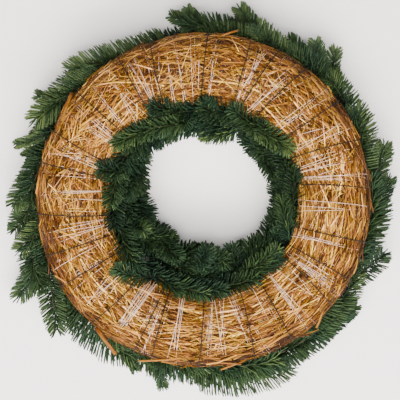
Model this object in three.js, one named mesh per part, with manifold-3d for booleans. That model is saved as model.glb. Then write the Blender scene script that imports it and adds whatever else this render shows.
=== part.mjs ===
// Fresh evergreen wreath, lying on its front with the straw back upwards: a ring of
// straw, the pale thread wound round it, one dark binding wire, and fir sprays that
// the wire binds to the ring's front. Millimetres, +Z up. The origin is on the
// ring's axis, at the surface that the wreath lies on.

import * as THREE from "three";
import { mergeVertices } from "three/addons/utils/BufferGeometryUtils.js";
import Module from "manifold-3d";

const wasm = await Module();
wasm.setup();

// Straw ring
const STRAW_OUTER_DIAMETER = 350;
const STRAW_INNER_DIAMETER = 200;
const STRAW_HEIGHT = 60;
const FOLIAGE_BELOW = 30;
const RING_RADIUS = (STRAW_OUTER_DIAMETER + STRAW_INNER_DIAMETER) / 4;
const HALF_WIDTH = (STRAW_OUTER_DIAMETER - STRAW_INNER_DIAMETER) / 4;
const HALF_HEIGHT = STRAW_HEIGHT / 2;
const RING_CENTRE_Z = FOLIAGE_BELOW + HALF_HEIGHT;
const SECTION_STEPS = 14;
const COLUMNS_PER_TURN = 3;
const PINCH_DEPTH = 1.6;
const STRAW_RELIEF = 1.1;

// Loose stalks of the ring: [x, y] of the bound root and of the free tip
const STALK_RADIUS = 1.6;
const STALK_RIM = 0.98;
const STALKS = [
  [[-147, 84], [-138, 112]],
  [[-171, 28], [-175, 6]],
  [[-99, -140], [-95, -163]],
  [[-24, -166], [-68, -169]],
  [[124, -120], [118, -134]],
  [[44, -168], [18, -178]],
  [[16, 170], [36, 177]],
  [[-127, 76], [-113, 86]],
];

// The 24 turns of the binding wire over the back: degrees at the outer and inner rim
const WIRE_TURNS = [
  [3.6, 8.8], [20.9, 25.2], [36, 37], [51.6, 57.5], [63.1, 68.2], [73.4, 72.8],
  [88.3, 91.5], [108.7, 113.1], [121.1, 122], [139.7, 140.5], [155.3, 159.9],
  [167.2, 168], [184.9, 189.5], [199.8, 201], [211.3, 211.8], [227.9, 231.4],
  [245.4, 246.4], [251.9, 249.6], [268.3, 270.4], [287.8, 292], [302.1, 304.5],
  [320.4, 324.5], [331.2, 332], [345.2, 343.4],
];
const WIRE_RADIUS = 0.55;
const WIRE_GAP = 0.5;
const THREAD_RADIUS = 0.35;
const THREAD_GAP = 0.4;
const WIRE_WINDING = { start: 0, turnsPerPass: 1, driftRows: [9, 11] };
const THREAD_WINDING = { start: 1 / 3, turnsPerPass: 2, driftRows: [10, 11] };
const FIRST_WINDING_STEP = -2;
const WINDING_STEPS_SHORT = 3;

// Fir sprays: a slim three-sided core whose whorls are raised to three needles each
const BUTT_RADIUS = 1.8;
const TIP_RADIUS = 1.1;
const BUTT_HEIGHT = 3.4;
const BUTT_GAP = 0.4;
const BUTT_BEFORE_WIRE = 3;
const BOUND_LENGTH = 5;
const SECTION_EASE = 1.6;
const RISE_EASE = 2.6;
const WHORLS = 12;
const FIRST_WHORL = 0.06;
const WHORLED_SHARE = 0.9;
const WHORL_LENGTH = 1.8;
const CORE_CORNERS = [60, 180, 300];
const CORE_SIDES = CORE_CORNERS.length;

// Needles: true length, half width of blade and root, and lean from butt to tip
const NEEDLE_LENGTH = 21;
const NEEDLE_RADIUS = 0.8;
const ROOT_RADIUS = 1.4;
const NEEDLE_LEAN = [56, 30];
const NEEDLE_LOWEST = 1.2;
const BUD_LENGTH = 4.4;
const CLEARANCE = 0.3;

// How far a needle gives way to find free room: tries, degrees of each, and lengths
const TRIES = 8;
const FULL_LENGTH_TRIES = 5;
const SHORT_SHARE = 0.75;
const LENGTH_SPREAD = [0.92, 1.06];
const ROLL_PER_TRY = 14;
const LEAN_PER_TRY = 3;

// Tips round the outside: [degrees, reach from the axis], bound some wire turns before
const OUTER_TIPS = [
  [7, 203], [20, 203], [31.5, 198], [47.4, 212], [60, 206], [80, 211], [95.7, 207.5],
  [110, 193], [122, 193], [138.5, 205.5], [150, 212], [164.7, 209.5], [181, 206],
  [193, 208], [208, 220.5], [223.4, 213], [240, 197.5], [257.8, 206], [270, 198],
  [281.4, 209.5], [294, 209.5], [309, 198.5], [322, 195.5], [344.3, 200],
];
const TURNS_BEFORE_TIP = 3;
const OUTER_OVERHANG = 9;
const OUTER_ROWS = [{ row: 12, tipSection: -18 }, { row: 11, tipSection: -38 }];

// Edge of the hole: reach of the foliage from the axis, every 20 degrees
const HOLE_EDGE = [70, 68, 67, 66, 59, 68, 62, 74, 62, 57, 49, 46, 44, 45, 46, 52, 60, 64];
const HOLE_OVERHANG = 8;

// Rows over the front and to the hole: wire turns, sweep, section row of the butt
const FRONT_ROW = { name: "front", first: 0, every: 2, sweep: 36, row: 10, tipSection: -90 };
const FRONT_HEIGHTS = [17, 31.5, 21];
const INNER_ROWS = [
  { name: "inner_upper", first: 1, every: 2, sweep: 33, row: 8, tipSection: -172 },
  { name: "inner_lower", first: 0, every: 3, sweep: 42, row: 9, tipSection: -148 },
];

const STRAW = { color: 0xc8964a, roughness: 0.75, metalness: 0 };
const THREAD = { color: 0xd8c4c0, roughness: 0.5, metalness: 0 };
const WIRE = { color: 0x2c2a22, roughness: 0.5, metalness: 0.6 };
const FIR = { color: 0x2f5a34, roughness: 0.6, metalness: 0 };

const { clamp, degToRad, lerp } = THREE.MathUtils;
const TURN_COUNT = WIRE_TURNS.length;
const COLUMNS = TURN_COUNT * COLUMNS_PER_TURN;
const SECTION_STEP = 360 / SECTION_STEPS;

// A point at an angle round the ring, at a section angle, off the straw's surface
function ringPoint(angle, section, height) {
  const reach = RING_RADIUS + (HALF_WIDTH + height) * Math.cos(degToRad(section));
  const z = RING_CENTRE_Z + (HALF_HEIGHT + height) * Math.sin(degToRad(section));
  const turn = degToRad(angle);
  return new THREE.Vector3(reach * Math.cos(turn), reach * Math.sin(turn), z);
}

// The angle of a wire turn, which slants from the outer to the inner rim
function turnAngle(turn, section) {
  const [outer, inner] = WIRE_TURNS[THREE.MathUtils.euclideanModulo(turn, TURN_COUNT)];
  const inward = (1 - Math.cos(degToRad(section))) / 2;
  return lerp(outer, inner, inward) + 360 * Math.floor(turn / TURN_COUNT);
}

// Columns of the ring follow the wire turns, with even steps between two turns
function columnAngle(column, section) {
  const turn = Math.floor(column / COLUMNS_PER_TURN);
  const part = column / COLUMNS_PER_TURN - turn;
  return lerp(turnAngle(turn, section), turnAngle(turn + 1, section), part);
}

// The straw bulges between two wire turns and has the relief of its bundles
function strawVertex(column, row) {
  const section = row * SECTION_STEP;
  const place = THREE.MathUtils.euclideanModulo(column, COLUMNS);
  const bare = row <= SECTION_STEPS / 2 ? 1 : 0;
  const pinch = place % COLUMNS_PER_TURN === 0 ? PINCH_DEPTH : 0;
  const bundles = Math.sin(2.4 * place + 1.7 * row) * Math.sin(1.3 * place - 2.1 * row);
  const height = bare * (STRAW_RELIEF * bundles - pinch);
  return ringPoint(columnAngle(column, section), section, height);
}

// A point that rides on a row of the straw's facets, between two columns
function onStraw(column, row, height) {
  const section = row * SECTION_STEP;
  const left = Math.floor(column);
  const base = strawVertex(left, row % SECTION_STEPS);
  base.lerp(strawVertex(left + 1, row % SECTION_STEPS), column - left);
  const away = ringPoint(columnAngle(column, section), section, height);
  return base.add(away).sub(ringPoint(columnAngle(column, section), section, 0));
}

function solidFrom(geometry) {
  const bare = geometry.clone();
  bare.deleteAttribute("normal");
  bare.deleteAttribute("uv");
  const merged = mergeVertices(bare, 1e-4);
  return new wasm.Manifold(new wasm.Mesh({
    numProp: 3,
    vertProperties: new Float32Array(merged.attributes.position.array),
    triVerts: new Uint32Array(merged.index.array),
  }));
}

function geometryFrom(solid) {
  const mesh = solid.getMesh();
  const geometry = new THREE.BufferGeometry();
  geometry.setAttribute("position", new THREE.BufferAttribute(mesh.vertProperties, 3));
  geometry.setIndex(new THREE.BufferAttribute(mesh.triVerts, 1));
  geometry.computeVertexNormals();
  return geometry;
}

// A line of given points, so that a tube along it turns exactly at each of them
class PointLine extends THREE.Curve {
  constructor(points) {
    super();
    this.points = points;
  }

  getPoint(t, target = new THREE.Vector3()) {
    const place = t * (this.points.length - 1);
    const index = Math.min(Math.floor(place), this.points.length - 2);
    return target.lerpVectors(this.points[index], this.points[index + 1], place - index);
  }

  getPointAt(t, target) {
    return this.getPoint(t, target);
  }

  getTangentAt(t, target = new THREE.Vector3()) {
    const index = Math.round(t * (this.points.length - 1));
    const before = this.points[Math.max(index - 1, 0)];
    const after = this.points[Math.min(index + 1, this.points.length - 1)];
    return target.subVectors(after, before).normalize();
  }
}

function threeSidedTube(points, radius) {
  const section = new THREE.Shape();
  const corners = [0, 1, 2].map((corner) => new THREE.Vector2(radius, 0)
    .rotateAround(new THREE.Vector2(), degToRad(120 * corner)));
  section.setFromPoints(corners);
  return new THREE.ExtrudeGeometry(section, {
    steps: points.length - 1,
    extrudePath: new PointLine(points),
    bevelEnabled: false,
  });
}

function stalkHeight(x, y) {
  const across = Math.min(Math.abs(Math.hypot(x, y) - RING_RADIUS) / HALF_WIDTH, STALK_RIM);
  return RING_CENTRE_Z + HALF_HEIGHT * Math.sqrt(1 - across * across);
}

function rod(from, to, radiusFrom, radiusTo, sides) {
  const length = from.distanceTo(to);
  const geometry = new THREE.CylinderGeometry(radiusTo, radiusFrom, length, sides, 1);
  const along = new THREE.Vector3().subVectors(to, from).normalize();
  const turn = new THREE.Quaternion().setFromUnitVectors(new THREE.Vector3(0, 1, 0), along);
  geometry.applyQuaternion(turn);
  const middle = from.clone().lerp(to, 0.5);
  return geometry.translate(middle.x, middle.y, middle.z);
}

function strawRing() {
  const torus = new THREE.TorusGeometry(RING_RADIUS, HALF_WIDTH, SECTION_STEPS, COLUMNS);
  const position = torus.attributes.position;
  for (let index = 0; index < position.count; index += 1) {
    const column = (index % (COLUMNS + 1)) % COLUMNS;
    const row = Math.floor(index / (COLUMNS + 1)) % SECTION_STEPS;
    const vertex = strawVertex(column, row);
    position.setXYZ(index, vertex.x, vertex.y, vertex.z);
  }
  let ring = solidFrom(torus);
  for (const [root, tip] of STALKS) {
    const from = new THREE.Vector3(root[0], root[1], stalkHeight(...root) - 2 * STALK_RADIUS);
    const to = new THREE.Vector3(tip[0], tip[1], stalkHeight(...tip) + STALK_RADIUS);
    ring = ring.add(solidFrom(rod(from, to, STALK_RADIUS, STALK_RADIUS, 4)));
  }
  return geometryFrom(ring);
}

// How far a winding has moved on towards its next turn, at each row of the section
function windingDrift(row, rows) {
  return clamp((row - rows[0]) / (rows[1] - rows[0]), 0, 1);
}

// Height of the wire over the straw: it rides over the butts that it binds
function wireHeight(row) {
  const raised = row > SECTION_STEPS / 2;
  return WIRE_RADIUS + (raised ? BUTT_HEIGHT + BUTT_RADIUS + BUTT_GAP : WIRE_GAP);
}

// A winding that passes each given turn once over the back, then moves on to the next
function winding({ start, turnsPerPass, driftRows }, height) {
  const points = [];
  const lastStep = (TURN_COUNT / turnsPerPass) * SECTION_STEPS - WINDING_STEPS_SHORT;
  for (let step = FIRST_WINDING_STEP; step <= lastStep; step += 1) {
    const pass = Math.floor(step / SECTION_STEPS);
    const row = step - pass * SECTION_STEPS;
    const turn = (pass + windingDrift(row, driftRows)) * turnsPerPass + start;
    points.push(onStraw(turn * COLUMNS_PER_TURN, row, height(row)));
  }
  return points;
}

const wirePoints = winding(WIRE_WINDING, wireHeight);
const threadPoints = winding(THREAD_WINDING, () => THREAD_RADIUS + THREAD_GAP);

// Angle of a butt that starts just before the wire which binds it, after a given turn
function buttAngle(turn, row) {
  const column = (turn + windingDrift(row, WIRE_WINDING.driftRows)) * COLUMNS_PER_TURN;
  return columnAngle(column, row * SECTION_STEP) - BUTT_BEFORE_WIRE;
}

// Height off the straw that puts a section angle at a reach from the axis
function heightAtReach(reach, section) {
  return Math.abs((reach - RING_RADIUS) / Math.cos(degToRad(section))) - HALF_WIDTH;
}

function holeEdge(angle) {
  const place = THREE.MathUtils.euclideanModulo(angle, 360) / 360 * HOLE_EDGE.length;
  const index = Math.floor(place);
  return lerp(HOLE_EDGE[index], HOLE_EDGE[(index + 1) % HOLE_EDGE.length], place - index);
}

function sprayName(row, index) {
  return `${row}_spray_${String(index + 1).padStart(2, "0")}`;
}

function outerSprays() {
  return OUTER_TIPS.map(([tip, reach], index) => {
    const { row, tipSection } = OUTER_ROWS[index % OUTER_ROWS.length];
    const butt = buttAngle(index - TURNS_BEFORE_TIP, row);
    const height = heightAtReach(reach - OUTER_OVERHANG, tipSection);
    const section = [row * SECTION_STEP - 360, tipSection];
    return { name: sprayName("outer", index), angle: [butt, tip], section, height };
  });
}

function rowSprays({ name, first, every, sweep, row, tipSection }, heightAt) {
  const sprays = [];
  const section = [row * SECTION_STEP - 360, tipSection];
  for (let turn = first; turn < TURN_COUNT; turn += every) {
    const butt = buttAngle(turn, row);
    const height = heightAt(sprays.length, butt + sweep);
    sprays.push({
      name: sprayName(name, sprays.length), angle: [butt, butt + sweep], section, height,
    });
  }
  return sprays;
}

// A point of a spray's core: flat under the wire, then it rises off the straw
function corePoint({ angle, section, height }, along) {
  const bound = BOUND_LENGTH / (angle[1] - angle[0]);
  const left = 1 - clamp((along - bound) / (1 - bound), 0, 1);
  const point = ringPoint(
    lerp(angle[0], angle[1], along),
    lerp(section[1], section[0], left ** SECTION_EASE),
    lerp(height, BUTT_HEIGHT, left ** RISE_EASE),
  );
  point.z = Math.max(point.z, TIP_RADIUS / 2);
  return point;
}

// Sections of a core: its butt, the two ends of each whorl, and its tip
function coreSections(spray) {
  const length = corePoint(spray, 0).distanceTo(corePoint(spray, 1));
  const places = [0];
  for (let whorl = 0; whorl < WHORLS; whorl += 1) {
    const start = FIRST_WHORL + WHORLED_SHARE * whorl / WHORLS;
    places.push(start, start + WHORL_LENGTH / length);
  }
  places.push(1);
  return places.map((along, index) => {
    const point = corePoint(spray, along);
    const run = corePoint(spray, along + 0.01).sub(corePoint(spray, along - 0.01)).normalize();
    const middle = ringPoint(lerp(spray.angle[0], spray.angle[1], along), 0, -HALF_WIDTH);
    const out = point.clone().sub(middle);
    out.addScaledVector(run, -out.dot(run)).normalize();
    const side = new THREE.Vector3().crossVectors(run, out);
    const turned = 60 * Math.min(Math.floor((index + 1) / 2), spray.pressed ? 2 : Infinity);
    const radius = lerp(BUTT_RADIUS, TIP_RADIUS, along);
    return { along, point, run, out, side, turned, radius };
  });
}

function around({ out, side }, degrees) {
  const way = out.clone().multiplyScalar(Math.cos(degToRad(degrees)));
  return way.addScaledVector(side, Math.sin(degToRad(degrees)));
}

// Faces of a core's skin, in order round it, section after section, and its two ends
function coreFaces(sections) {
  const rings = sections.map((section) => CORE_CORNERS.map((corner) => {
    const way = around(section, section.turned + corner);
    const vertex = section.point.clone().addScaledVector(way, section.radius);
    vertex.z = Math.max(vertex.z, 0);
    return vertex;
  }));
  const faces = [];
  for (let step = 0; step + 1 < rings.length; step += 1) {
    for (let side = 0; side < CORE_SIDES; side += 1) {
      const before = (side + CORE_SIDES - 1) % CORE_SIDES;
      const [near, far] = [rings[step], rings[step + 1]];
      faces.push({ corners: [near[before], near[side], far[side], far[before]] });
    }
  }
  const last = sections.at(-1);
  const bud = last.point.clone().addScaledVector(last.run, BUD_LENGTH);
  faces.push({ corners: rings[0].toReversed() }, { corners: rings.at(-1), tip: bud });
  return faces;
}

// A face with a tip is raised to it, and any other is cut along its short diagonal
function faceTriangles({ corners, tip }) {
  if (tip) {
    return corners.map((corner, index) => [corner, corners[(index + 1) % corners.length], tip]);
  }
  const [first, second, third, fourth] = corners;
  return fourth ? [[first, second, fourth], [second, third, fourth]] : [corners];
}

// Whether an edge passes through a triangle, apart from one that has a corner in it
function pierces(from, to, triangle) {
  if (triangle.includes(from) || triangle.includes(to)) {
    return false;
  }
  const way = new THREE.Vector3().subVectors(to, from);
  const ray = new THREE.Ray(from, way.clone().normalize());
  const hit = ray.intersectTriangle(...triangle, false, new THREE.Vector3());
  return hit !== null && hit.distanceTo(from) < way.length();
}

function trianglesCross(one, other) {
  return one.some((corner, index) => {
    const next = (index + 1) % one.length;
    return pierces(corner, one[next], other) || pierces(other[index], other[next], one);
  });
}

// Taken space, as thick lines that belong to a node
const taken = [];

function takeLine(points, radius, owner) {
  for (let index = 0; index + 1 < points.length; index += 1) {
    taken.push({ line: new THREE.Line3(points[index], points[index + 1]), radius, owner });
  }
}

// Whether a needle is clear of all others: its root is wider than its blade
function isClear(line, owner) {
  const middle = line.at(0.3, new THREE.Vector3());
  const root = new THREE.Line3(line.start, middle);
  const blade = new THREE.Line3(middle, line.end);
  return taken.every((other) => {
    const own = other.owner === owner;
    const room = NEEDLE_RADIUS + other.radius + (own ? 0 : CLEARANCE);
    const rootRoom = ROOT_RADIUS + other.radius + CLEARANCE;
    const bladeClear = blade.distanceSqToLine3(other.line) > room * room;
    return bladeClear && (own || root.distanceSqToLine3(other.line) > rootRoom * rootRoom);
  });
}

// Whether a line stays off the straw, off the surface below and out of the hole
function isOutside(line) {
  const point = new THREE.Vector3();
  const margin = NEEDLE_RADIUS + STRAW_RELIEF + CLEARANCE;
  return [0.3, 0.5, 0.75, 1].every((along) => {
    line.at(along, point);
    const reach = Math.hypot(point.x, point.y);
    const across = (reach - RING_RADIUS) / (HALF_WIDTH + margin);
    const up = (point.z - RING_CENTRE_Z) / (HALF_HEIGHT + margin);
    const angle = THREE.MathUtils.radToDeg(Math.atan2(point.y, point.x));
    return across * across + up * up > 1 && point.z > NEEDLE_LOWEST && reach > holeEdge(angle) - 1;
  });
}

let seed = 29;

function draw() {
  seed = (seed * 16807) % 2147483647;
  return seed / 2147483647;
}

// Whether a face that is raised to a tip would pass through the rest of its spray's skin
function crossesOwnSkin(spray, face, tip) {
  const raised = faceTriangles({ corners: face.corners, tip });
  const others = spray.faces.filter((other) => other !== face).flatMap(faceTriangles);
  return raised.some((one) => others.some((other) => trianglesCross(one, other)));
}

// Looks for a free way out for a needle: its roll and lean give way, then its length
function growNeedle(spray, whorl, side) {
  const step = 2 * whorl + 1;
  const face = spray.faces[step * CORE_SIDES + side];
  const { point, run, along, radius, ...frame } = spray.sections[step];
  const straight = frame.turned + 120 * side;
  const lean = lerp(...NEEDLE_LEAN, along ** 2);
  const root = point.clone().addScaledVector(run, WHORL_LENGTH / 2);
  root.addScaledVector(around(frame, straight), radius / 2);
  for (let attempt = 0; attempt < TRIES; attempt += 1) {
    const roll = straight + (attempt + 1) * ROLL_PER_TRY * (draw() - 0.5);
    const tilt = degToRad(lean - attempt * LEAN_PER_TRY * draw());
    const share = attempt < FULL_LENGTH_TRIES ? 1 : SHORT_SHARE;
    const length = NEEDLE_LENGTH * share * lerp(...LENGTH_SPREAD, draw());
    const way = around(frame, roll).multiplyScalar(Math.sin(tilt));
    way.addScaledVector(run, Math.cos(tilt));
    const line = new THREE.Line3(root, root.clone().addScaledVector(way, length));
    const free = isOutside(line) && isClear(line, spray.name);
    if (free && !crossesOwnSkin(spray, face, line.end)) {
      taken.push({ line, radius: NEEDLE_RADIUS, owner: spray.name });
      face.tip = line.end;
      return;
    }
  }
}

function sprayGeometry({ faces }) {
  const corners = faces.flatMap(faceTriangles).flat();
  const geometry = new THREE.BufferGeometry().setFromPoints(corners);
  geometry.computeVertexNormals();
  return geometry;
}

const sprays = [
  ...outerSprays(),
  ...rowSprays(FRONT_ROW, (index) => FRONT_HEIGHTS[index % FRONT_HEIGHTS.length]),
  ...INNER_ROWS.flatMap((row) => rowSprays(row, (index, tip) => (
    heightAtReach(holeEdge(tip) + HOLE_OVERHANG, row.tipSection)
  ))),
];

takeLine(wirePoints, WIRE_RADIUS, "binding_wire");
takeLine(threadPoints, THREAD_RADIUS, "straw_thread");
for (const spray of sprays) {
  spray.pressed = spray.height > FOLIAGE_BELOW && spray.name.startsWith(FRONT_ROW.name);
  spray.sections = coreSections(spray);
  spray.faces = coreFaces(spray.sections);
  takeLine(spray.sections.map((section) => section.point), BUTT_RADIUS, spray.name);
}

// Needles grow a whorl at a time from the tips back, so the sprays share the room
for (let whorl = WHORLS - 1; whorl >= 0; whorl -= 1) {
  for (const spray of sprays) {
    for (let side = 0; side < CORE_SIDES; side += 1) {
      growNeedle(spray, whorl, side);
    }
  }
}

const wreath = new THREE.Group();
wreath.name = "fresh_evergreen_wreath";

function addMesh(name, geometry, finish) {
  const mesh = new THREE.Mesh(geometry, new THREE.MeshStandardMaterial(finish));
  mesh.name = name;
  wreath.add(mesh);
}

addMesh("straw_ring", strawRing(), STRAW);
addMesh("binding_wire", threeSidedTube(wirePoints, WIRE_RADIUS), WIRE);
addMesh("straw_thread", threeSidedTube(threadPoints, THREAD_RADIUS), THREAD);
for (const spray of sprays) {
  addMesh(spray.name, sprayGeometry(spray), FIR);
}

export default wreath;
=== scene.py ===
# %% [markdown]
# # A fresh evergreen wreath, seen from its straw back
# The real wreath is a ring of straw, wound with pale thread, with fir sprays bound to
# its front by one dark wire. It lies on its foliage, so the straw back faces up.
# The solid model of it is already packed, and it is loaded here as a fixed frame.
# Everything below is built round that frame, in metres, with +Z up.

import bpy
import numpy as np
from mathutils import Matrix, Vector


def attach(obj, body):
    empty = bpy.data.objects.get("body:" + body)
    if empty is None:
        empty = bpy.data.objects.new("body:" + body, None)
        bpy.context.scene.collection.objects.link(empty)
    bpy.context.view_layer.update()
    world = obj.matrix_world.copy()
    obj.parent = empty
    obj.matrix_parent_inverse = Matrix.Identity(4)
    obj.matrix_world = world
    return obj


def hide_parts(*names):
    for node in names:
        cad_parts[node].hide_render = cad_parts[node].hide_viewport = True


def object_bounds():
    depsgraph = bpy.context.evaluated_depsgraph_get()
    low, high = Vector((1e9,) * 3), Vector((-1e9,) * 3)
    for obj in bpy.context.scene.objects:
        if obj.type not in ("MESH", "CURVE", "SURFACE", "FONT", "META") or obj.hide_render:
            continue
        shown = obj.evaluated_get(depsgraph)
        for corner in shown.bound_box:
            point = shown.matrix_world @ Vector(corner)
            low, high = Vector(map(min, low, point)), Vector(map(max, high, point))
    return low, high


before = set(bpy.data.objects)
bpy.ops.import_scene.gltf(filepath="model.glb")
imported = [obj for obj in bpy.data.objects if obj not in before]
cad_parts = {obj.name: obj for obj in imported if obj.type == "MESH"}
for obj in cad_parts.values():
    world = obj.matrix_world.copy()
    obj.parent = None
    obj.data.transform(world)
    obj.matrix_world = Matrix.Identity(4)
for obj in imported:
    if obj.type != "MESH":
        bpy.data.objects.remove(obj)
cad_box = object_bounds()
print("CAD box in metres:", np.round(cad_box, 4).tolist())

# %% [markdown]
# ## Places on the ring
# Every piece of the wreath hugs the straw ring, so one pair of coordinates serves them
# all: an angle round the ring and an angle round its oval section, plus a height off
# the straw. They could be worked out with parented empties and rotations, but a formula
# on whole arrays places thousands of straws and needles at once.

# %% The ring and its coordinates
RING_RADIUS = 0.1375
HALF_WIDTH = 0.0375
HALF_HEIGHT = 0.030
RING_CENTRE_Z = 0.060
MM = 0.001


def cosine(degrees):
    """The cosine of an angle in degrees."""
    return np.cos(np.radians(degrees))


def sine(degrees):
    """The sine of an angle in degrees."""
    return np.sin(np.radians(degrees))


def ring_point(angle, section, height):
    """A point of the ring: the reach from the axis is the ring's radius plus the cosine
    of the section angle times half the width, and z is the sine times half the height."""
    reach = RING_RADIUS + (HALF_WIDTH + height) * cosine(section)
    z = RING_CENTRE_Z + (HALF_HEIGHT + height) * sine(section)
    return np.stack(np.broadcast_arrays(reach * cosine(angle), reach * sine(angle), z), axis=-1)


def off_centre(points):
    """How far points are out from the ring's centre line, and how far above it."""
    out = np.linalg.norm(points[..., :2], axis=-1) - RING_RADIUS
    return out, points[..., 2] - RING_CENTRE_Z


def on_ring(points):
    """The two angles of points: round the ring by x and y, and round the section by how
    far they are up and out, each over its half size."""
    out, up = off_centre(points)
    angle = np.degrees(np.arctan2(points[..., 1], points[..., 0]))
    return angle, np.degrees(np.arctan2(up * HALF_WIDTH, out * HALF_HEIGHT))


def mix(first, second, share):
    """The first value plus a share of the way to the second."""
    return first + (second - first) * share


def unit(vectors):
    """Vectors of length 1: each is divided by its own length."""
    return vectors / np.linalg.norm(vectors, axis=-1, keepdims=True)


print("outer rim of the straw:", ring_point(0, 0, 0).round(4))

# %% [markdown]
# ## Where the wire turns lie
# One wire goes 24 times round the ring, and each turn pulls a waist into the straw.
# Each turn is given by two angles, at the outer and the inner rim, because the turns
# slant a little. The straw's surface is the plain ring, less a smooth notch at each
# turn: a bell curve of the distance to the nearest one.

# %% The wire turns and the waists they pull
WIRE_TURNS = np.array([
    (3.6, 8.8), (20.9, 25.2), (36, 37), (51.6, 57.5), (63.1, 68.2), (73.4, 72.8),
    (88.3, 91.5), (108.7, 113.1), (121.1, 122), (139.7, 140.5), (155.3, 159.9),
    (167.2, 168), (184.9, 189.5), (199.8, 201), (211.3, 211.8), (227.9, 231.4),
    (245.4, 246.4), (251.9, 249.6), (268.3, 270.4), (287.8, 292), (302.1, 304.5),
    (320.4, 324.5), (331.2, 332), (345.2, 343.4),
])
TURN_COUNT = len(WIRE_TURNS)
ROWS = 14
SECTION_STEP = 360 / ROWS
WAIST_DEPTH = 2.4 * MM
WAIST_DEGREES = 2.2
BROAD_WAIST_DEPTH = 2.4 * MM
BROAD_WAIST_DEGREES = 5
SWELL = 1.3 * MM
SWELL_PAST = 5
SWELL_DEGREES = 3
BARE_AT_RIM = 1.5
BARE_RISE = 2


def turn_angle(turn, section):
    """The angle round the ring of a wire turn, counted from 0 and with fractions between
    two turns: it goes from the outer to the inner angle with the cosine of the section."""
    count = np.arange(-TURN_COUNT, 3 * TURN_COUNT)
    angles = WIRE_TURNS[count % TURN_COUNT] + 360 * (count // TURN_COUNT)[:, None]
    outer = np.interp(turn, count, angles[:, 0])
    inner = np.interp(turn, count, angles[:, 1])
    return mix(outer, inner, (1 - cosine(section)) / 2)


def bell(away):
    """A bell curve: the exponential of minus the square."""
    return np.exp(-(away**2))


def waist(angle, section):
    """Depth of the notch at a place: a narrow and a broad bell curve of the degrees to
    the nearest turn, on the back and the rims only. Just past each turn the outer rim
    swells out instead, by one more bell curve."""
    turns = turn_angle(np.arange(TURN_COUNT), np.asarray(section)[..., None])
    away = (np.asarray(angle)[..., None] - turns + 180) % 360 - 180
    nearest = np.abs(away).min(axis=-1)
    bare = np.clip(BARE_AT_RIM + BARE_RISE * sine(section), 0, 1)
    narrow = WAIST_DEPTH * bell(nearest / WAIST_DEGREES)
    broad = BROAD_WAIST_DEPTH * bell(nearest / BROAD_WAIST_DEGREES)
    swollen = bell((away - SWELL_PAST) / SWELL_DEGREES).max(axis=-1)
    return bare * (narrow + broad) - SWELL * swollen * np.clip(cosine(section), 0, 1)


print("wire turns:", TURN_COUNT, "with waists of", WAIST_DEPTH / MM, "mm")

# %% [markdown]
# ## Carrying a profile along many paths
# Straws, needles, thread, wire and twigs are all one kind of shape: a small profile
# carried along a line. Blender's curves with a bevel could do it, but each of the
# thousands would be an object or a spline to manage. Here one function carries the
# profile along all paths at once and closes both ends, and another joins such skins.

# %% Skins from profiles and paths


def steps(count):
    """Even steps from 0 to 1, as the middle one of three axes."""
    return np.linspace(0, 1, count)[None, :, None]


def lengths_of(paths):
    """The length of each path, which is the sum of its steps."""
    return np.linalg.norm(np.diff(paths, axis=1), axis=2).sum(axis=1)


def sweep(paths, profile, sizes, ups, tone, pointed=False):
    """Carries a profile along paths of shape (copies, stations, 3). A vertex is the path's
    point plus the profile's x times the side vector and its y times the up vector, each
    times the size at that station. Pointed skins end in one vertex, others in a cap."""
    copies, stations = paths.shape[:2]
    corners = len(profile)
    run = unit(np.gradient(paths, axis=1))
    side = unit(np.cross(ups, run))
    up = np.cross(run, side)
    across = sizes[:, :, None, None, 0] * profile[:, None, 0] * side[:, :, None]
    upward = sizes[:, :, None, None, 1] * profile[:, None, 1] * up[:, :, None]
    rings = paths[:, :, None] + across + upward
    index = np.arange(copies * stations * corners).reshape(copies, stations, corners)
    turned = np.roll(index, -1, axis=2)
    last = stations - 2 if pointed else stations - 1
    near, near_next = index[:, :last], turned[:, :last]
    far, far_next = index[:, 1:last + 1], turned[:, 1:last + 1]
    faces = [np.stack([near, near_next, far_next, far], axis=-1).reshape(-1, 4)]
    faces.append(index[:, 0, ::-1])
    if pointed:
        rings[:, -1] = paths[:, -1, None]
        apex = np.broadcast_to(index[:, -1, :1], (copies, corners))
        faces.append(np.stack([index[:, -2], turned[:, -2], apex], axis=-1).reshape(-1, 3))
    else:
        faces.append(index[:, -1])
    place = steps(stations)
    length = lengths_of(paths)[:, None, None]
    around = np.arange(corners)[None, None] / corners
    values = [tone[:, None, None], place, length * place, around]
    values = [np.broadcast_to(value, rings.shape[:3]).ravel() for value in values]
    return {"points": rings.reshape(-1, 3), "faces": faces, "values": np.stack(values)}


def joined(skins):
    """One skin of several: the points follow one another, and the faces are renumbered."""
    faces = []
    start = 0
    for skin in skins:
        faces += [group + start for group in skin["faces"]]
        start += len(skin["points"])
    return {
        "points": np.concatenate([skin["points"] for skin in skins]),
        "faces": faces,
        "values": np.concatenate([skin["values"] for skin in skins], axis=1),
    }


def polygon(corners):
    """A round profile: the cosine and sine of even steps."""
    angles = np.arange(corners) / corners * 2 * np.pi
    return np.stack([np.cos(angles), np.sin(angles)], axis=1)


def upright(paths):
    """The direction straight up, at each point of paths."""
    return np.broadcast_to([0.0, 0.0, 1.0], paths.shape)


def strands(paths, ups, half_width, half_thickness, corners, tone):
    """Flattened tubes along paths, each with the same two half sizes all the way."""
    sizes = np.stack(np.broadcast_arrays(half_width, half_thickness), axis=1)
    sizes = np.repeat(sizes[:, None], paths.shape[1], axis=1)
    return sweep(paths, polygon(corners), sizes, ups, tone)


# %% [markdown]
# ## From arrays to a piece
# A mesh is filled with foreach_set, which takes whole arrays. Four numbers go with each
# point as attributes, for the materials to read: a tone that is the same all over one
# straw or needle, the place along it, its length up to there in metres, and the place
# round it.

# %% Mesh and piece
ATTRIBUTES = ("tone", "along", "length", "around")


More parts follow.
